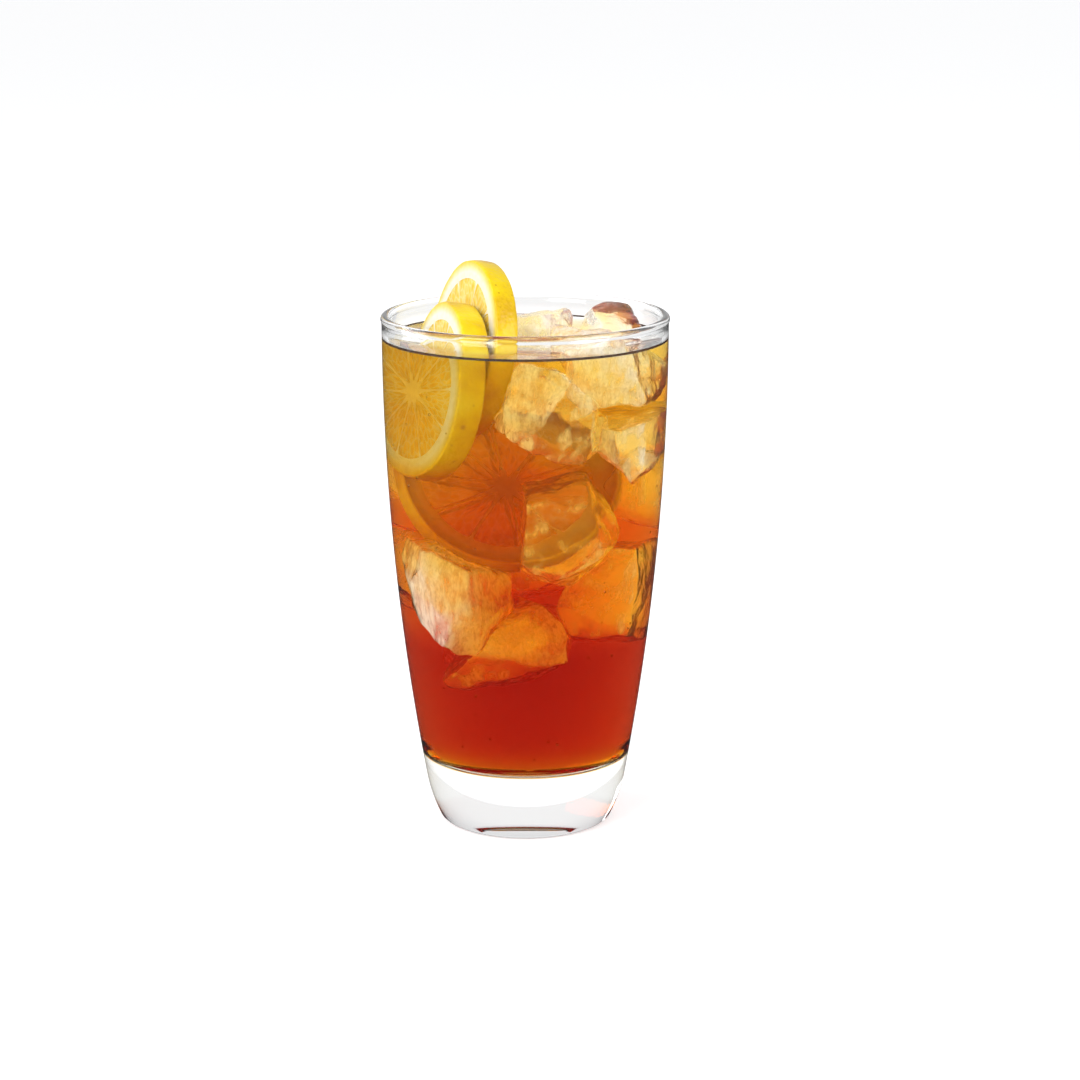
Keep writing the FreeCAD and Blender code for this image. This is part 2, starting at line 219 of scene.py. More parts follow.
def combined(material, operation, first, second):
    """Two values put together, the second a plain number or another value."""
    made = node(material, "ShaderNodeMath", operation=operation)
    link(material, first, made.inputs[0])
    if isinstance(second, (int, float)):
        made.inputs[1].default_value = second
    else:
        link(material, second, made.inputs[1])
    return made.outputs[0]


def multiplied(material, first, second, share):
    """One colour multiplied by a share of another."""
    mixed = node(material, "ShaderNodeMix", data_type="RGBA", blend_type="MULTIPLY")
    mixed.inputs["Factor"].default_value = share
    link(material, first, mixed.inputs["A"])
    link(material, second, mixed.inputs["B"])
    return mixed.outputs["Result"]


def only_mirrored(material, glossy, through):
    """1 for a ray that comes straight from a reflection, else 0."""
    mirrored = node(material, "ShaderNodeMath", operation="SUBTRACT", use_clamp=True)
    link(material, glossy, mirrored.inputs[0])
    link(material, through, mirrored.inputs[1])
    return mirrored.outputs[0]


def color_ramp(material, factor, stops):
    ramp = node(material, "ShaderNodeValToRGB")
    elements = ramp.color_ramp.elements
    while len(elements) < len(stops):
        elements.new(0.5)
    for element, (position, color) in zip(elements, stops):
        element.position = position
        element.color = (*color, 1)
    link(material, factor, ramp.inputs["Fac"])
    return ramp


def clear_material(name, index, roughness=0.0):
    """A colourless see-through material with the index that a ray meets on the way in."""
    material, shader = new_material(name, (1, 1, 1), roughness)
    shader.inputs["Transmission Weight"].default_value = 1.0
    shader.inputs["IOR"].default_value = index
    return material, shader


def pressed_glass():
    material, shader = clear_material("pressed glass", GLASS_INDEX)
    shader.inputs["Base Color"].default_value = (0.965, 0.97, 0.968, 1)
    waves = object_noise(material, 70, detail=1.0, stretch=(1, 1, 0.35))
    bump(material, shader, waves.outputs["Fac"], 0.02 * MM)
    return material


def wetted_glass():
    return clear_material("wetted glass", GLASS_INDEX / TEA_INDEX)[0]


def painted_meniscus_shade():
    """Painted shade: a dark line on the glass where the drink climbs it, put where the meniscus looks dark."""
    material, shader = new_material("painted meniscus shade", (0.13, 0.045, 0.02), 0.25)
    tone = object_noise(material, 60, detail=2.0)
    ramp = color_ramp(material, tone.outputs["Fac"], ((0.35, (0.02, 0.006, 0.002)), (0.65, (0.11, 0.04, 0.012))))
    link(material, ramp.outputs["Color"], shader.inputs["Base Color"])
    return material


def black_tea(name, taken):
    """Tea that takes so much of each colour. Its skin bends no light, because the glass and the surface do."""
    material, shader = clear_material(name, 1.0)
    absorption = node(material, "ShaderNodeVolumeAbsorption")
    density = taken[2] / 0.98
    absorption.inputs["Density"].default_value = density
    absorption.inputs["Color"].default_value = (*[1 - amount / density for amount in taken], 1)
    link(material, absorption.outputs["Volume"], material.node_tree.nodes["Material Output"].inputs["Volume"])
    return material


def melting_ice(name, index, cloudiest, painted_glow, relief):
    """Ice that scatters more of the light where it is frosted and along fine streaks, and has a painted glow that
    grows with this clouding.
    """
    material, shader = clear_material(name, index)
    frost_and_glow = node(material, "ShaderNodeAttribute", attribute_name="frost_and_glow")
    streaks = object_noise(material, 210, detail=7.0, roughness=0.75, stretch=(1.5, 1.5, 0.55))
    streaked = remapped(material, streaks.outputs["Fac"], (0.36, 0.6), (0.15, 1.0))
    cloud_and_glow = node(material, "ShaderNodeMath", operation="MULTIPLY_ADD")
    cloud_and_glow.inputs[2].default_value = 0.04
    link(material, frost_and_glow.outputs["Fac"], cloud_and_glow.inputs[0])
    link(material, streaked, cloud_and_glow.inputs[1])
    clearness = remapped(material, cloud_and_glow.outputs[0], target=(1.0, cloudiest))
    link(material, clearness, shader.inputs["Transmission Weight"])
    link(material, combined(material, "MULTIPLY", frost_and_glow.outputs["Fac"], 0.14), shader.inputs["Roughness"])
    veins = object_noise(material, 120, detail=5.0, roughness=0.6)
    ramp = color_ramp(material, veins.outputs["Fac"], (
        (0.34, (0.99, 0.90, 0.74)), (0.5, (1.0, 0.97, 0.92)), (0.62, (1.0, 0.99, 0.97))))
    link(material, ramp.outputs["Color"], shader.inputs["Base Color"])
    # Painted glow: the clouded ice gives off a faint cream light of its own, standing in for light scattered inside
    # it.
    shader.inputs["Emission Color"].default_value = (1.0, 0.93, 0.80, 1)
    link(material, combined(material, "MULTIPLY", cloud_and_glow.outputs[0], painted_glow), shader.inputs["Emission Strength"])
    ripples = object_noise(material, 230, detail=5.0, roughness=0.6)
    bump(material, shader, ripples.outputs["Fac"], relief)
    return material


def flat_radius(material):
    """The distance from the middle of a wheel, 0.5 at its rim, and the direction, from its own flat map."""
    place = node(material, "ShaderNodeUVMap", uv_map="cut face")
    centred = node(material, "ShaderNodeMapping")
    centred.inputs["Location"].default_value = (-0.5, -0.5, 0)
    link(material, place.outputs["UV"], centred.inputs["Vector"])
    split = node(material, "ShaderNodeSeparateXYZ")
    link(material, centred.outputs["Vector"], split.inputs[0])
    length = node(material, "ShaderNodeVectorMath", operation="LENGTH")
    link(material, centred.outputs["Vector"], length.inputs[0])
    bearing = node(material, "ShaderNodeMath", operation="ARCTAN2")
    link(material, split.outputs["Y"], bearing.inputs[0])
    link(material, split.outputs["X"], bearing.inputs[1])
    return length.outputs["Value"], bearing.outputs["Value"]


def lemon_rind():
    material, shader = new_material("lemon rind", (0.93, 0.66, 0.01), 0.36)
    tone = object_noise(material, 110, detail=4.0)
    ramp = color_ramp(material, tone.outputs["Fac"], (
        (0.28, (0.80, 0.47, 0.0)), (0.5, (0.95, 0.66, 0.0)), (0.75, (1.0, 0.78, 0.02))))
    place = node(material, "ShaderNodeTexCoord")
    spots = node(material, "ShaderNodeTexVoronoi")
    spots.inputs["Scale"].default_value = 260
    spots.inputs["Randomness"].default_value = 1.0
    link(material, place.outputs["Object"], spots.inputs["Vector"])
    dark = color_ramp(material, spots.outputs["Distance"], ((0.05, (0.45, 0.22, 0.02)), (0.11, (1, 1, 1))))
    spotted = multiplied(material, ramp.outputs["Color"], dark.outputs["Color"], 0.55)
    # One small red-brown blemish on the front wheel
    blemish = node(material, "ShaderNodeVectorMath", operation="DISTANCE")
    blemish.inputs[1].default_value = Vector((-15.8, -29.5, 122.7)) * MM
    link(material, place.outputs["Object"], blemish.inputs[0])
    marked = node(material, "ShaderNodeMix", data_type="RGBA")
    link(material, remapped(material, blemish.outputs["Value"], (0.8 * MM, 1.7 * MM)), marked.inputs["Factor"])
    marked.inputs["A"].default_value = (0.50, 0.12, 0.02, 1)
    link(material, spotted, marked.inputs["B"])
    link(material, marked.outputs["Result"], shader.inputs["Base Color"])
    pores = node(material, "ShaderNodeTexVoronoi")
    pores.inputs["Scale"].default_value = 850
    link(material, place.outputs["Object"], pores.inputs["Vector"])
    bump(material, shader, pores.outputs["Distance"], 0.16 * MM)
    return material


def lemon_pith(name, clearness):
    material, shader = new_material(name, (0.92, 0.84, 0.60), 0.55)
    shader.inputs["Transmission Weight"].default_value = clearness
    reach = flat_radius(material)[0]
    ramp = color_ramp(material, reach, (
        (0.30, (0.95, 0.78, 0.34)), (0.38, (0.97, 0.93, 0.76)), (0.43, (0.98, 0.94, 0.80)),
        (0.468, (0.95, 0.78, 0.20)), (0.488, (0.94, 0.68, 0.02))))
    fibres = object_noise(material, 600, detail=4.0)
    tone = color_ramp(material, fibres.outputs["Fac"], ((0.3, (0.84, 0.80, 0.70)), (0.62, (1, 1, 1))))
    fibrous = multiplied(material, ramp.outputs["Color"], tone.outputs["Color"], 0.6)
    link(material, fibrous, shader.inputs["Base Color"])
    bump(material, shader, fibres.outputs["Fac"], 0.14 * MM)
    return material


def lemon_pulp(name, clearness):
    """Juice sacs, long cells that run from the core to the rind."""
    material, shader = new_material(name, (0.9, 0.6, 0.1), 0.22)
    shader.inputs["Transmission Weight"].default_value = clearness
    shader.inputs["IOR"].default_value = 1.12
    reach, bearing = flat_radius(material)
    spread = node(material, "ShaderNodeCombineXYZ")
    for source, factor, target in ((bearing, 9.0, "X"), (reach, 13.0, "Y")):
        link(material, combined(material, "MULTIPLY", source, factor), spread.inputs[target])
    sacs = node(material, "ShaderNodeTexVoronoi", feature="DISTANCE_TO_EDGE")
    sacs.inputs["Scale"].default_value = 1.0
    link(material, spread.outputs[0], sacs.inputs["Vector"])
    ramp = color_ramp(material, sacs.outputs["Distance"], (
        (0.0, (1.0, 0.84, 0.36)), (0.10, (0.98, 0.72, 0.14)), (0.45, (0.96, 0.60, 0.05))))
    link(material, ramp.outputs["Color"], shader.inputs["Base Color"])
    bump(material, shader, sacs.outputs["Distance"], 0.5 * MM)
    return material


# ---------------------------------------------------------------- the turned section

def meeting_point(first, first_reach, second, second_reach, upper):
    """The point at two given distances from two centres, the upper or the lower one."""
    way = second - first
    along = (way.length ** 2 + first_reach ** 2 - second_reach ** 2) / (2 * way.length)
    across = math.sqrt(first_reach ** 2 - along ** 2)
    side = Vector((-way.z, 0, way.x)).normalized()
    if (side.z > 0) != upper:
        side = -side
    return first + way.normalized() * along + side * across


def arc(centre, radius, start, end, steps):
    """Points on a circle from one direction to another, in degrees from +X towards +Z."""
    angles = [math.radians(start + (end - start) * step / steps) for step in range(steps + 1)]
    return [centre + Vector((math.cos(angle), 0, math.sin(angle))) * radius for angle in angles]


def direction(centre, point):
    return math.degrees(math.atan2(point.z - centre.z, point.x - centre.x))


SIDE_CENTRE = Vector((BELLY - SIDE_ROUND, 0, BELLY_LEVEL))


def inner_section(bite, top):
    """The hollow's outline from the middle of its floor to a level, moved outwards by a bite."""
    side = SIDE_ROUND - WALL + bite
    corner = FLOOR_ROUND + bite
    dish = FLOOR_DISH + bite
    dish_centre = Vector((0, 0, FLOOR_LEVEL + FLOOR_DISH))
    corner_centre = meeting_point(dish_centre, dish - corner, SIDE_CENTRE, side - corner, False)
    floor_end = direction(dish_centre, corner_centre)
    wall_start = direction(SIDE_CENTRE, corner_centre)
    wall_end = math.degrees(math.asin((top - SIDE_CENTRE.z) / side))
    return (arc(dish_centre, dish, -90, floor_end, 14) + arc(corner_centre, corner, floor_end, wall_start, 10)[1:]
            + arc(SIDE_CENTRE, side, wall_start, wall_end, 44)[1:])


def outer_section(top):
    """The tumbler's outside from the middle of the punt to a level."""
    heel_centre = Vector((FOOT, 0, HEEL_ROUND))
    flare_centre = meeting_point(heel_centre, FLARE_ROUND - HEEL_ROUND,
                                 SIDE_CENTRE, SIDE_ROUND - FLARE_ROUND, True)
    flare_start = direction(flare_centre, heel_centre)
    side_start = direction(SIDE_CENTRE, flare_centre)
    side_end = math.degrees(math.asin((top - SIDE_CENTRE.z) / SIDE_ROUND))
    shares = [step / 12 for step in range(13)]
    punt = [Vector((PUNT * share, 0, PUNT_DEPTH * (1 - share ** 2))) for share in shares]
    return (punt + arc(heel_centre, HEEL_ROUND, -90, flare_start, 8)
            + arc(flare_centre, FLARE_ROUND, flare_start, side_start, 12)[1:]
            + arc(SIDE_CENTRE, SIDE_ROUND, side_start, side_end, 44)[1:])


def make_tumbler():
    bead_level = GLASS_HIGH.z - BEAD
    bead_centre = Vector((BELLY - WALL / 2, 0, bead_level))
    join = bead_level - 1.1 * MM
    outside = outer_section(join)
    shade_band_top = TEA_LEVEL + MENISCUS
    shade_band_foot = shade_band_top - SHADE_BAND
    wet = inner_section(0, shade_band_foot) + inner_section(0, shade_band_top)[-1:]
    inside = wet + [point for point in inner_section(0, join) if point.z > wet[-1].z + 0.5 * MM]
    throat = 22             # degrees between the wall's end and the bead's first point
    start = direction(bead_centre, outside[-1]) + throat
    end = direction(bead_centre, inside[-1]) + 360 - throat
    bead = arc(bead_centre, BEAD, start, end, 20)
    tumbler = turned_piece("tumbler", outside + bead + inside[::-1])
    finish_with(tumbler, pressed_glass(), wetted_glass(), painted_meniscus_shade())
    # The inner wall under the drink is wetted glass; the band at the top of the meniscus takes the painted shade.
    for face in tumbler.data.polygons:
        inwards = face.normal.x * face.center.x + face.normal.y * face.center.y < 0
        if FLOOR_LEVEL - 0.5 * MM < face.center.z < shade_band_top and (inwards or face.normal.z > 0.9):
            face.material_index = 1 if face.center.z < shade_band_foot else 2
    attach(tumbler, "root")
    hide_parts("glass")


# ---------------------------------------------------------------- the lemon wheels

WHEEL_SEGMENTS = 10
HALF_MEMBRANE = 0.3 * MM
PULP_EDGE = 0.2 * MM        # width and depth of the slope from the membrane down to the pulp
PULP_SHOULDER = 0.35 * MM
PULP_SWELL = 0.15 * MM
# The rim outside the pulp, from pith to rind: how far inside the radius each step ends
PITH_END = 1.3 * MM
RIND_STEPS = ((0.75 * MM, 0.02 * MM), (0.3 * MM, 0.35 * MM), (0.12 * MM, 1.0 * MM))


def wheel_turn(bearing, lean, spin):
    """The turn that lays a wheel's face towards a bearing, leaning back, and spins it on its axis."""
    return (Matrix.Rotation(math.radians(bearing), 4, "Z") @ Matrix.Rotation(math.radians(90 - lean), 4, "Y")
            @ Matrix.Rotation(math.radians(spin), 4, "Z"))


def rind_barrel(name, radius, thickness, turn, place):
    """The whole wheel as one closed barrel, for hollowing the drink."""
    drop_selection()
    bpy.ops.mesh.primitive_cylinder_add(vertices=128, radius=radius - 0.15 * MM, depth=thickness,
                                        end_fill_type="NGON")
    barrel = named(name)
    add_modifier(barrel, "BEVEL", width=0.5 * MM, segments=2, limit_method="ANGLE")
    barrel.matrix_world = Matrix.Translation(place) @ turn
    return settle(barrel)


def widen_rim(factor, drop):
    """Extrudes the open edge outwards and down."""
    bpy.ops.mesh.extrude_edges_move()
    bpy.ops.transform.resize(value=(factor, factor, 1), center_override=(0, 0, 0))
    bpy.ops.transform.translate(value=(0, 0, -drop))


def make_wheel(name, radius, thickness, turn, place, materials, seed):
    """A lemon wheel: a disc cut into segments, their pulp let in between the membranes, then pith and rind."""
    chance = random.Random(seed)
    half = thickness / 2
    pulp_reach = radius - chance.uniform(5.1, 5.5) * MM
    drop_selection()
    bpy.ops.mesh.primitive_circle_add(vertices=64, radius=pulp_reach, fill_type="NGON", location=(0, 0, half))
    wheel = named(name)
    finish_with(wheel, *materials)
    settle(wheel)
    bpy.ops.object.mode_set(mode="EDIT")
    bpy.ops.mesh.select_mode(type="FACE")
    core = Vector((chance.uniform(-0.7, 0.7), chance.uniform(-0.7, 0.7), 0)) * MM
    for number in range(WHEEL_SEGMENTS // 2):
        angle = math.radians(360 / WHEEL_SEGMENTS * number + chance.uniform(-3.5, 3.5))
        bpy.ops.mesh.select_all(action="SELECT")
        bpy.ops.mesh.bisect(plane_co=core, plane_no=(math.cos(angle), math.sin(angle), 0))
    bpy.ops.mesh.select_all(action="SELECT")
    bpy.ops.mesh.remove_doubles(threshold=0.95 * MM)
    bpy.ops.mesh.inset(use_individual=True, thickness=HALF_MEMBRANE)
    bpy.context.object.active_material_index = 2
    bpy.ops.object.material_slot_assign()
    bpy.ops.mesh.inset(use_individual=True, thickness=PULP_EDGE)
    bpy.ops.transform.translate(value=(0, 0, -PULP_EDGE))
    bpy.ops.mesh.inset(use_individual=True, thickness=PULP_SHOULDER)
    bpy.ops.transform.translate(value=(0, 0, PULP_SWELL))
    bpy.ops.mesh.select_mode(type="EDGE")
    bpy.ops.mesh.select_all(action="DESELECT")
    bpy.ops.mesh.select_non_manifold(extend=False)
    reach = pulp_reach
    middle_drop = half - sum(drop for inside, drop in RIND_STEPS)
    for inside, drop in ((PITH_END, 0), *RIND_STEPS, (0, middle_drop)):
        wider = radius - inside
        widen_rim(wider / reach, drop)
        reach = wider
    bpy.ops.mesh.select_mode(type="VERT")
    bpy.ops.object.mode_set(mode="OBJECT")
    for face in wheel.data.polygons:
        distance = math.hypot(face.center.x, face.center.y)
        if distance > pulp_reach:
            face.material_index = 0 if distance > radius - 1.0 * MM else 1
        elif face.material_index != 2:
            face.material_index = 1
    add_modifier(wheel, "MIRROR", use_axis=(False, False, True), merge_threshold=0.01 * MM)
    close_up(wheel)
    add_modifier(wheel, "SUBSURF", subdivision_type="SIMPLE", levels=2, render_levels=2)
    add_modifier(wheel, "SMOOTH", factor=0.5, iterations=4)
    flat = wheel.data.uv_layers.new(name="cut face")
    for loop in wheel.data.loops:
        point = wheel.data.vertices[loop.vertex_index].co
        flat.data[loop.index].uv = (0.5 + point.x / (2 * radius), 0.5 + point.y / (2 * radius))
    texture = bpy.data.textures.new(name, "CLOUDS")
    texture.noise_scale = 6 * MM
    add_modifier(wheel, "DISPLACE", texture=texture, strength=0.3 * MM, mid_level=0.6, texture_coords="LOCAL")
    wheel.matrix_world = Matrix.Translation(place) @ turn
    settle(wheel)
    bpy.ops.object.shade_smooth()
    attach(wheel, "root")
    return wheel


# ---------------------------------------------------------------- the ice

def ragged(lump, relief):
    """Melted and chipped: an even fine skin with shell-shaped dents and small bumps."""
    add_modifier(lump, "REMESH", mode="VOXEL", voxel_size=0.75 * MM)
    add_modifier(lump, "SMOOTH", factor=0.5, iterations=3)
    chips = bpy.data.textures.new(lump.name + " chips", "VORONOI")
    chips.noise_scale = 9 * MM
    add_modifier(lump, "DISPLACE", texture=chips, strength=-2.4 * relief * MM, mid_level=0.4, texture_coords="LOCAL")
    lumps = bpy.data.textures.new(lump.name + " lumps", "CLOUDS")
    lumps.noise_scale = 2.4 * MM
    add_modifier(lump, "DISPLACE", texture=lumps, strength=0.7 * relief * MM, mid_level=0.5, texture_coords="LOCAL")
    add_modifier(lump, "SMOOTH", factor=0.5, iterations=1)


def cut_off(lump, planes):
    """Cuts everything away on the outer side of each plane, given as a point and a direction."""
    take(lump)
    bpy.ops.object.mode_set(mode="EDIT")
    for point, outwards in planes:
        bpy.ops.mesh.select_all(action="SELECT")
        bpy.ops.mesh.bisect(plane_co=point, plane_no=outwards, use_fill=True, clear_outer=True)
    bpy.ops.object.mode_set(mode="OBJECT")


def shaped_lump(name, outline, near, far, facets, seed, relief):
    """A lump with a given outline (x, z) from the front, going clockwise, between two depths."""
    chance = random.Random(seed)
    across = [point[0] for point in outline]
    up = [point[1] for point in outline]
    drop_selection()
    bpy.ops.mesh.primitive_cube_add(size=1)
    lump = named(name)
    lump.scale = Vector((max(across) - min(across) + 1, far - near, max(up) - min(up) + 1)) * MM
    lump.location = Vector((max(across) + min(across), far + near, max(up) + min(up))) * MM / 2
    settle(lump)
    planes = []
    middle = (near + far) / 2
    for (x, z), (next_x, next_z) in zip(outline, outline[1:] + outline[:1]):
        way = Vector((z - next_z, 0, next_x - x)).normalized()
        way.y = chance.uniform(-0.35, 0.35)
        planes.append((Vector((x, middle, z)) * MM, way))
    planes += [(Vector(point) * MM, Vector(way)) for point, way in facets]
    cut_off(lump, planes)
    ragged(lump, relief)
    return lump


def chance_lump(name, middle, reach, turn, seed, relief):
    """A lump cut flat on eleven sides at chance depths."""
    chance = random.Random(seed)
    drop_selection()
    bpy.ops.mesh.primitive_ico_sphere_add(subdivisions=3, radius=1.0)
    lump = named(name)
    sides = [Vector(way) for way in ((1, 0, 0), (-1, 0, 0), (0, 1, 0), (0, -1, 0), (0, 0, 1), (0, 0, -1))]
    sides += [Vector([chance.uniform(-1, 1) for axis in range(3)]).normalized() for extra in range(5)]
    planes = []
    for side in sides:
        way = (side + Vector([chance.uniform(-0.3, 0.3) for axis in range(3)])).normalized()
        planes.append((way * chance.uniform(0.66, 0.86), way))
    cut_off(lump, planes)
    lump.scale = Vector(reach) * MM / 0.82
    lump.rotation_euler = [math.radians(value) for value in turn]
    lump.location = Vector(middle) * MM
    settle(lump)
    ragged(lump, relief)
    return lump


def extent(piece):
    """The piece's lowest and highest value on each axis."""
    values = [[vertex.co[axis] for vertex in piece.data.vertices] for axis in range(3)]
    return [min(line) for line in values], [max(line) for line in values]


def clear_of(lump, others, room):
    """Keeps a lump inside the tumbler and off the pieces made before it."""
    add_modifier(lump, "BOOLEAN", object=room, operation="INTERSECT", solver="MANIFOLD")
    low, high = extent(lump)
    for other in others:
        other_low, other_high = extent(other)
        if any(other_low[axis] > high[axis] or other_high[axis] < low[axis] for axis in range(3)):
            continue
        grown = copy_of(other, "grown")
        add_modifier(grown, "DISPLACE", strength=LUMP_ROOM, mid_level=0)
        add_modifier(lump, "BOOLEAN", object=grown, operation="DIFFERENCE", solver="MANIFOLD")
        bpy.data.objects.remove(grown)


def ice_finish(lump, materials, bright, share):
    """Clear ice, frosted on the sides that face one way, where its painted glow is strongest too."""
    bpy.ops.object.shade_smooth()
    finish_with(lump, *materials)
    frost_and_glow = lump.data.attributes.get("frost_and_glow") or lump.data.attributes.new("frost_and_glow", "FLOAT", "POINT")
    bright = Vector(bright).normalized()
    for vertex in lump.data.vertices:
        patchy = 0.5 * noise.noise(vertex.co / (5 * MM)) + 0.2 * noise.noise(vertex.co / (1.2 * MM))
        frost_and_glow.data[vertex.index].value = min(max((vertex.normal.dot(bright) + patchy - share) / 0.35 + 0.5, 0), 1)
    for face in lump.data.polygons:
        face.material_index = 1 if face.center.z < TEA_LEVEL else 0
    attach(lump, "root")


# Lumps by outline: corners (x, z), nearest and furthest depth, front facets (point, direction),
# frosted and glowing side and how squarely a face must look that way, relief
SHAPED = {
    "ice_lump_right": (
        [(8.5, 146), (14, 148.3), (24, 147.2), (31, 141), (34, 129), (31, 126.3), (18, 127), (13.6, 129.5), (8, 137)],
        -25.5, 2, [((20, -25, 136), (0.25, -0.95, -0.25))], (-0.2, -0.8, 0.4), 0.25, 0.9),
    "ice_shard": (
        [(-1.9, 139.9), (6.7, 139.8), (18.7, 128), (18.5, 120.4), (16.1, 112), (13.5, 110.2), (-2, 118.5),
         (-6.8, 121.6), (-6.3, 128.6)],
        -32, -12, [((2, -28, 130), (-0.35, -0.9, 0.25)), ((12, -27, 122), (0.35, -0.9, -0.2)),
                   ((4, -28, 118), (-0.1, -0.8, -0.6))], (-0.6, -0.75, 0.3), 0.55, 1.6),
    "ice_wedge": (
        [(17.8, 122.7), (40.7, 122.9), (39.9, 111.9), (30.2, 105.7), (27, 103.6), (21.4, 109.5), (16.1, 114.9)],
        -30, 2, [((23.8, -23, 115), (-0.62, -0.78, 0)), ((23.8, -23, 115), (0.3, -0.95, 0))],
        (-0.62, -0.78, 0.1), 0.55, 0.7),
    "ice_lump_low_left": (
        [(-27.5, 86), (-24, 86.8), (-10.8, 81.5), (-4.5, 78.5), (-3.1, 72.1), (-9, 60.8), (-12.5, 55.7),
         (-17.1, 55.6), (-29.3, 64.6), (-32.1, 73.2)],
        -30, -6, [((-20, -25, 76), (-0.3, -0.92, 0.22)), ((-14, -24, 62), (0.25, -0.9, -0.38)),
                  ((-8, -20, 72), (0.7, -0.7, 0.1))], (-0.2, -0.95, 0.05), 0.15, 0.9),
    "ice_lump_low": (
        [(-3.9, 67.5), (-1.2, 71.2), (2, 70.2), (6.7, 65.1), (10.6, 55.5), (8.1, 51.8), (0.7, 46), (-7.7, 43.6),
         (-13.5, 43.6), (-19.8, 45.6), (-27.5, 54.6), (-24, 60)],
        -22, 8, [((-6, -20, 58), (0.1, -0.9, 0.4)), ((-6, -20, 54), (-0.1, -0.9, -0.4))], (0.1, -0.8, 0.5), 0.6, 0.9),
    "ice_lump_low_right": (
        [(11.3, 72.6), (19.6, 84.4), (29.2, 85), (31, 70), (27.2, 54.1), (19.8, 54.4), (10.9, 58.2), (7.4, 66)],
        -14, 16, [], (-0.3, -0.9, 0.3), 0.92, 0.8),
    "ice_lump_centre": (
        [(-0.5, 103.8), (7, 105.4), (15.2, 107.2), (19.9, 98.3), (22.8, 88.3), (18.5, 82), (12.9, 77.6), (7.5, 75.8),
         (2.2, 77.8), (-1.5, 80.4)],
        -28, -6, [((10, -26, 92), (0.2, -0.97, 0.1))], (-0.2, -0.8, -0.5), 0.86, 0.9),
}
# Lumps by chance: middle, half size, turn, frosted and glowing side and share, relief
CHANCE = {
    "ice_lump_middle": ((3.2, 14.6, 138.2), (11.8, 11.0, 12.0), (8, -6, 20), (-0.2, -0.5, 0.8), 0.1, 0.9),
    "ice_lump_back": ((25.3, 13.2, 140.2), (9.2, 9.8, 10.2), (10, 5, 27), (0, 0, -1), 0.99, 0.9),
    "ice_lump_rear": ((12, 19, 112), (12.5, 11, 12), (20, 5, 10), (0, -1, 0.2), 0.93, 1.0),
    "ice_lump_rear_left": ((-15, 19, 104), (11, 10, 12), (5, 25, 40), (0, -1, 0.2), 0.93, 1.0),
    "ice_lump_side": ((27, 6, 99), (9.5, 11, 11.5), (12, 8, 60), (0, -1, 0.2), 0.93, 1.0),
    "ice_lump_rear_low": ((2, 20, 78), (12, 10, 11), (15, 10, 0), (0, -1, 0.2), 0.93, 1.0),
    "ice_lump_rear_side": ((-20, 11, 74), (10, 12, 12), (5, 20, 30), (0, -1, 0.2), 0.93, 1.0),
    "ice_lump_rear_bottom": ((-4, 18, 56), (13, 11, 10), (10, -8, 15), (0, -1, 0.2), 0.93, 1.0),
}
CAD_LUMPS = {"ice_lump_middle": "ice_middle", "ice_lump_right": "ice_right", "ice_lump_back": "ice_back"}


# ---------------------------------------------------------------- the drink

def hollow_out(body, sunk, low, high, shrink, slots=()):
    """Hollows a body of tea where other pieces are, a touch smaller than they are."""
    for piece in sunk:
        piece_low, piece_high = extent(piece)
        if piece_low[2] > high or piece_high[2] < low:
            continue
        hollow = copy_of(piece, "hollow")
        finish_with(hollow, *slots)
        for face in hollow.data.polygons:
            face.material_index = 1 if slots else 0
        add_modifier(hollow, "DISPLACE", strength=-shrink, mid_level=0)
        add_modifier(body, "BOOLEAN", object=hollow, operation="DIFFERENCE", solver="MANIFOLD")
        bpy.data.objects.remove(hollow)
    take(body)
    bpy.ops.object.shade_smooth_by_angle(angle=SMOOTH_UNDER)
    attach(body, "root")


def layer_line(low, high):
    """A layer's half section from the axis out to just inside the wall and back."""
    wall = [point for point in inner_section(WALL_BITE, high) if point.z > low]
    if low > FLOOR_LEVEL:
        wall = [Vector((0, 0, low)), Vector((wall[0].x, 0, low))] + wall
    return wall


def make_tea(sunk):
    """The drink in layers, under a surface with a low meniscus, hollowed where other pieces are."""
    for number, (low, high, strength) in enumerate(STEEPED):
        low, high = low * MM, high * MM
        layer = turned_piece("tea_layer_%d" % (number + 1), layer_line(low, high) + [Vector((0, 0, high))])
        finish_with(layer, black_tea("steeped tea %d" % (number + 1), strength))
        hollow_out(layer, sunk, low, high, TEA_SHRINK)
    low = TEA_LEVEL - 4 * MM
    rise = layer_line(low, TEA_LEVEL + MENISCUS)
    edge = rise[-1].x
    for step in range(1, 9):
        gap = 6 * MM * (step / 8) ** 1.6
        rise.append(Vector((edge - gap, 0, TEA_LEVEL + MENISCUS * math.exp(-gap / (1.3 * MM)))))
    surface = turned_piece("tea_surface", rise + [Vector((0, 0, TEA_LEVEL))])
    slots = (clear_material("tea surface", TEA_INDEX)[0], clear_material("tea below", 1.0)[0])
    finish_with(surface, *slots)
    for face in surface.data.polygons:
        face.material_index = 0 if face.normal.z > 0.35 else 1
    hollow_out(surface, sunk, low, GLASS_HIGH.z, SURFACE_SHRINK, slots)
    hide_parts("tea")


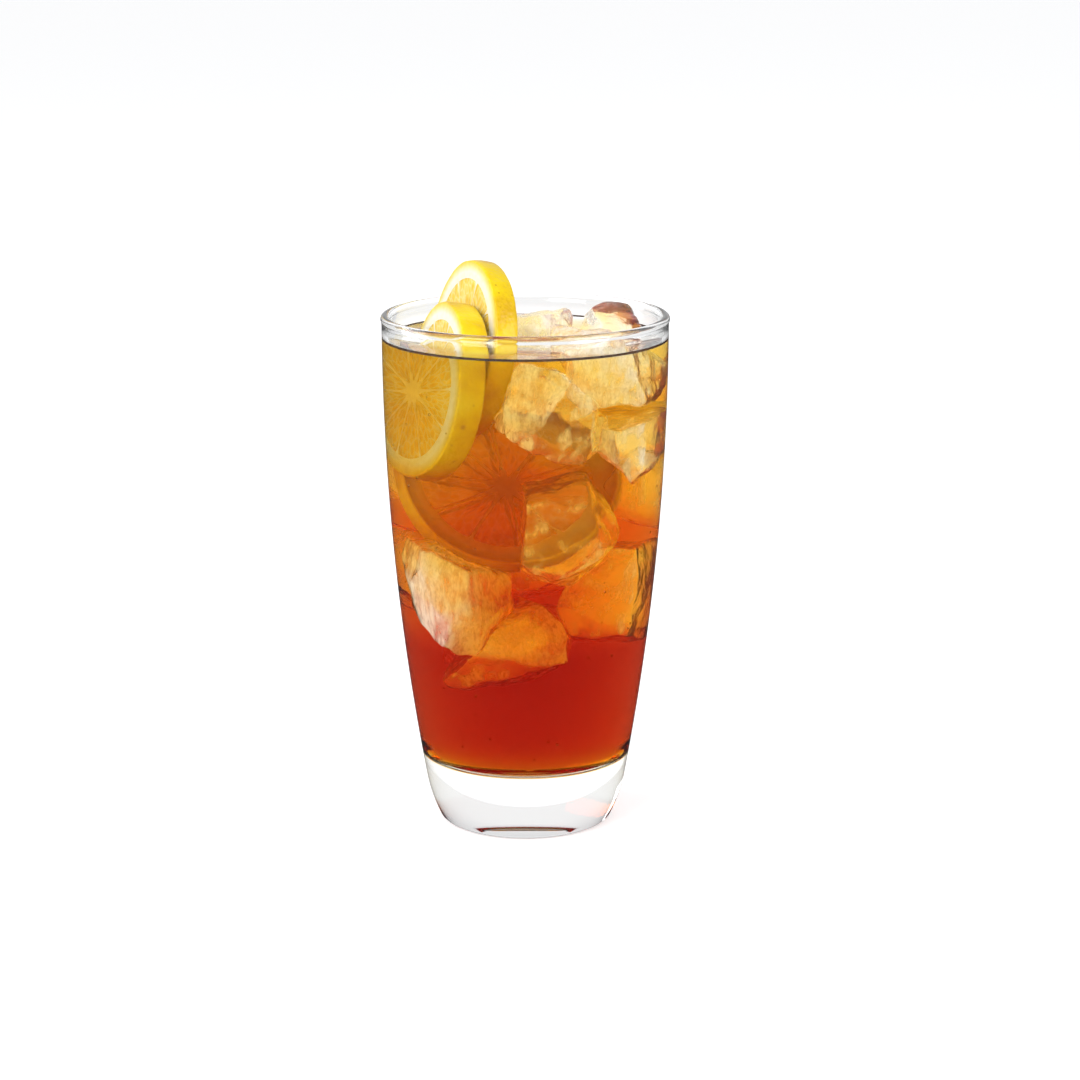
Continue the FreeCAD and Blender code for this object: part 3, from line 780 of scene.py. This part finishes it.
def make_bubbles(sunk):
    """Small air bubbles that cling just inside the wall, clear of the other pieces."""
    chance = random.Random(11)
    wall = [point for point in inner_section(0, 132 * MM) if point.z > 24 * MM]
    bubbles = []
    for number in range(90):
        around = math.radians(chance.uniform(-165, -5))
        start = wall[chance.randrange(len(wall))]
        size = chance.uniform(0.16, 0.42) * MM
        reach = start.x - size - 0.1 * MM
        place = Vector((reach * math.cos(around), reach * math.sin(around), start.z + chance.uniform(-1, 1) * MM))
        near = [(piece.closest_point_on_mesh(place)[1] - place).length for piece in sunk]
        if min(near) < size + 0.1 * MM:
            continue
        drop_selection()
        bpy.ops.mesh.primitive_ico_sphere_add(subdivisions=3, radius=size, location=place)
        bubbles.append(named("air_bubbles"))
    take(bubbles[0])
    for bubble in bubbles:
        bubble.select_set(True)
    bpy.ops.object.join()
    cluster = named("air_bubbles")
    settle(cluster)
    bpy.ops.object.shade_smooth()
    finish_with(cluster, clear_material("air in tea", 1 / TEA_INDEX)[0])
    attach(cluster, "root")


# ---------------------------------------------------------------- the stage

LAMP_SIDE = 0.8
LAMP_AIM = Vector((0, 0, 0.08))
CAMERA_PLACE = Vector((4.2355, -806.92, 279.33)) * MM
CAMERA_DIP = 0.2383         # radians below the level


def make_floor():
    drop_selection()
    bpy.ops.mesh.primitive_plane_add(size=16, location=(0, 0, 0))
    floor = named("floor")
    material, shader = new_material("pale floor", (0.85, 0.85, 0.85), 0.9)
    shader.inputs["Specular IOR Level"].default_value = 0.1
    shader.inputs["Emission Color"].default_value = (1, 1, 1, 1)
    rays = node(material, "ShaderNodeLightPath")
    through = combined(material, "MAXIMUM", rays.outputs["Is Camera Ray"], rays.outputs["Is Transmission Ray"])
    link(material, combined(material, "MULTIPLY", through, 0.5), shader.inputs["Emission Strength"])
    # Painted shade in reflections: a reflection sees the floor nearly black, standing in for a dark room in front of
    # the tumbler.
    mirrored = only_mirrored(material, rays.outputs["Is Glossy Ray"], through)
    tone = color_ramp(material, mirrored, ((0.0, (0.85, 0.85, 0.85)), (1.0, (0.05, 0.05, 0.05))))
    link(material, tone.outputs["Color"], shader.inputs["Base Color"])
    finish_with(floor, material)


def make_world():
    world = bpy.data.worlds.new("studio")
    bpy.context.scene.world = world
    world.use_nodes = True
    background = world.node_tree.nodes["Background"]
    rays = node(world, "ShaderNodeLightPath")
    place = node(world, "ShaderNodeTexCoord")
    split = node(world, "ShaderNodeSeparateXYZ")
    link(world, place.outputs["Generated"], split.inputs[0])
    ramp = color_ramp(world, split.outputs["Z"], ((0.15, (1, 1, 1)), (0.85, (0.62, 0.63, 0.65))))
    seen = node(world, "ShaderNodeMix", data_type="RGBA")
    link(world, rays.outputs["Is Camera Ray"], seen.inputs["Factor"])
    link(world, ramp.outputs["Color"], seen.inputs["A"])
    seen.inputs["B"].default_value = (1, 1, 1, 1)
    link(world, seen.outputs["Result"], background.inputs["Color"])
    # In reflections the room is bright behind the tumbler and dim in front of it
    mirrored = only_mirrored(world, rays.outputs["Is Glossy Ray"], rays.outputs["Is Transmission Ray"])
    behind = remapped(world, split.outputs["Y"], (0.2, 0.9), (0.02, 0.8))
    strength = node(world, "ShaderNodeMapRange")
    strength.inputs["To Min"].default_value = 1.0
    link(world, behind, strength.inputs["To Max"])
    link(world, mirrored, strength.inputs["Value"])
    scattered = remapped(world, rays.outputs["Is Diffuse Ray"], target=(1.0, 0.75))
    link(world, combined(world, "MULTIPLY", strength.outputs["Result"], scattered), background.inputs["Strength"])


def soft_light(name, place, power):
    """A square lamp that faces the tumbler's middle."""
    drop_selection()
    bpy.ops.object.light_add(type="AREA", location=place)
    lamp = bpy.context.object
    lamp.name = name
    lamp.data.shape = "RECTANGLE"
    lamp.data.size = lamp.data.size_y = LAMP_SIDE
    lamp.data.energy = power
    aim = LAMP_AIM - Vector(place)
    lamp.rotation_euler = aim.to_track_quat("-Z", "Y").to_euler()


def make_camera():
    drop_selection()
    bpy.ops.object.camera_add(location=CAMERA_PLACE)
    camera = bpy.context.object
    camera.rotation_euler = (math.pi / 2 - CAMERA_DIP, 0, 0)
    camera.data.sensor_width = 36
    camera.data.lens = 94.95
    bpy.context.scene.camera = camera


make_camera()
make_world()
make_floor()
soft_light("key", (-0.8, -1.0, 0.9), 11.0)
soft_light("side", (-1.3, 0.3, 0.6), 7.0)
soft_light("fill", (1.1, -0.7, 0.7), 7.0)

bpy.context.scene.view_settings.view_transform = "Standard"
cycles = bpy.context.scene.cycles
cycles.max_bounces = 40
cycles.transmission_bounces = 40
cycles.glossy_bounces = 6
cycles.diffuse_bounces = 3

make_tumbler()
sunk = []
fresh = (lemon_rind(), lemon_pith("lemon pith", 0.08), lemon_pulp("lemon pulp", 0.15))
soaked = (fresh[0], lemon_pith("soaked pith", 0.65), lemon_pulp("soaked pulp", 0.75))
# The node that the wheel stands for or its middle, then radius, thickness, turn (bearing, lean, spin) and seed
WHEELS = {
    "lemon_wheel_front": ("lemon_slice_front", 25.0, 7.8, (200, 10, 10), 3),
    "lemon_wheel_back": ("lemon_slice_back", 25.2, 6.8, (203, 8.5, 5), 4),
    "lemon_wheel_sunk": ((-5.0, 1.0, 101.0), 25.0, 6.5, (279, 33, 20), 5),
}
for name, (stand, radius, thickness, turn, seed) in WHEELS.items():
    above = isinstance(stand, str)
    place = sum(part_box(stand), Vector()) / 2 if above else Vector(stand) * MM
    turn = wheel_turn(*turn)
    wheel = make_wheel(name, radius * MM, thickness * MM, turn, place, fresh if above else soaked, seed)
    if above:
        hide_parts(stand)
    sunk.append(rind_barrel(name + "_barrel", radius * MM, thickness * MM, turn, place))

room = turned_piece("room", inner_section(-WALL_ROOM, 149 * MM)
                    + [Vector((0, 0, 160 * MM)), Vector((0, 0, FLOOR_LEVEL))])
# The fourth number is the strength of the ice's painted glow.
ice = (melting_ice("melting ice", ICE_INDEX, 0.35, 0.1, 0.6 * MM),
       melting_ice("sunk ice", SUNK_ICE_INDEX, 0.3, 0.2, 0.8 * MM))
for seed, (name, facts) in enumerate({**SHAPED, **CHANCE}.items()):
    make = shaped_lump if name in SHAPED else chance_lump
    lump = make(name, *facts[:-3], seed + 1, facts[-1])
    clear_of(lump, sunk, room)
    take(lump)
    ice_finish(lump, ice, facts[-3], facts[-2])
    if name in CAD_LUMPS:
        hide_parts(CAD_LUMPS[name])
    sunk.append(lump)
bpy.data.objects.remove(room)

make_tea(sunk)
make_bubbles(sunk)
for piece in list(sunk):
    if piece.name.endswith("_barrel"):
        bpy.data.objects.remove(piece)
